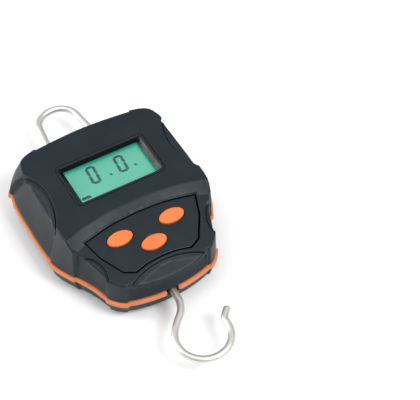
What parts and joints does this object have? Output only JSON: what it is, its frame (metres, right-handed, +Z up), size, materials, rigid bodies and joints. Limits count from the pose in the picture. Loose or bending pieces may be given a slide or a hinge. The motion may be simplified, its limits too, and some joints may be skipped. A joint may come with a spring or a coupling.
{
  "type": "digital fish scale",
  "caption": "Hand-held digital hanging scale with a wedge-shaped casing, backlit display, press buttons, a wire hanger loop and a swivelling open wire hook.",
  "frame": {"origin": "centre of the footprint, hanger and hook included, on the surface that the flat back rests on", "axes": "+Z up out of the display face, +Y towards the hanger loop, +X to the right as the display is read"},
  "size_m": [0.0922, 0.1835, 0.0393],
  "materials": {
    "casing_plastic": "fine-grained moulded plastic with a soft-touch feel",
    "trim_rubber": "matt moulded elastomer",
    "button_orange": "matt silicone",
    "wire_steel": "satin stainless wire",
    "clear_window": "polished clear plastic",
    "lcd": "backlit display glass with dark segments",
    "light_guide": "translucent light guide",
    "black_plastic": "plain black moulding",
    "circuit_board": "solder-masked laminate",
    "black_rubber": "matt elastomer",
    "machined_aluminium": "machined",
    "copper_foil": "bare foil and bronze",
    "battery_wrap": "printed film, left plain",
    "red_insulation": "flexible insulation",
    "zinc_steel": "bright zinc plating"
  },
  "bodies": {
    "casing": {"front_shell": "casing_plastic", "rear_shell": "casing_plastic", "trim_band": "trim_rubber", "button_panel": "casing_plastic", "key_switch_left": "black_plastic", "key_switch_middle": "black_plastic", "key_switch_right": "black_plastic", "key_board": "circuit_board", "display_window": "clear_window", "lcd_glass": "lcd", "backlight_guide": "light_guide", "lcd_holder": "black_plastic", "contact_strip": "black_rubber", "main_board": "circuit_board", "controller_chip": "black_plastic", "amplifier_chip": "black_plastic", "buzzer": "black_plastic", "board_screw_1": "zinc_steel", "board_screw_2": "zinc_steel", "board_screw_3": "zinc_steel", "board_screw_4": "zinc_steel", "load_cell": "machined_aluminium", "strain_gauge_upper": "copper_foil", "strain_gauge_lower": "copper_foil", "hanger_yoke": "zinc_steel", "yoke_bolt": "zinc_steel", "hanger": "wire_steel", "hanger_nut_left": "zinc_steel", "hanger_nut_right": "zinc_steel", "thrust_washer": "copper_foil", "swivel_housing": "machined_aluminium", "housing_bolt": "zinc_steel", "outlet_bush": "black_rubber", "battery_inner": "battery_wrap", "battery_spring_inner": "zinc_steel", "positive_tab_inner": "zinc_steel", "battery_outer": "battery_wrap", "battery_spring_outer": "zinc_steel", "positive_tab_outer": "zinc_steel", "spring_plate": "zinc_steel", "case_screw_1": "zinc_steel", "case_screw_2": "zinc_steel", "case_screw_3": "zinc_steel", "case_screw_4": "zinc_steel", "case_screw_5": "zinc_steel", "case_screw_6": "zinc_steel", "load_cell_cable": "black_plastic", "battery_lead_red": "red_insulation", "battery_lead_black": "black_plastic", "key_ribbon": "copper_foil"},
    "hook_body": {"hook": "wire_steel", "hook_collar": "zinc_steel", "hook_nut": "zinc_steel"},
    "left_button": {"button_left": "button_orange"},
    "middle_button": {"button_middle": "button_orange"},
    "right_button": {"button_right": "button_orange"},
    "hatch": {"battery_hatch": "casing_plastic", "hatch_gasket": "black_rubber", "hatch_screw": "zinc_steel"}
  },
  "joints": [
    {"name": "left_press", "type": "slide", "parent": "casing", "child": "left_button", "axis": [0, 0.2689, -0.9632], "range_m": [0, 0.001], "stiffness_N_per_m": 800},
    {"name": "middle_press", "type": "slide", "parent": "casing", "child": "middle_button", "axis": [0, 0.2689, -0.9632], "range_m": [0, 0.001], "stiffness_N_per_m": 800},
    {"name": "right_press", "type": "slide", "parent": "casing", "child": "right_button", "axis": [0, 0.2689, -0.9632], "range_m": [0, 0.001], "stiffness_N_per_m": 800},
    {"name": "hook_swivel", "type": "hinge", "parent": "casing", "child": "hook_body", "pos_m": [0, -0.045, 0.0127], "axis": [0, 1, 0], "continuous": true},
    {"name": "hatch_lift", "type": "slide", "parent": "casing", "child": "hatch", "axis": [0, 0, -1], "range_m": [0, 0.016]}
  ]
}
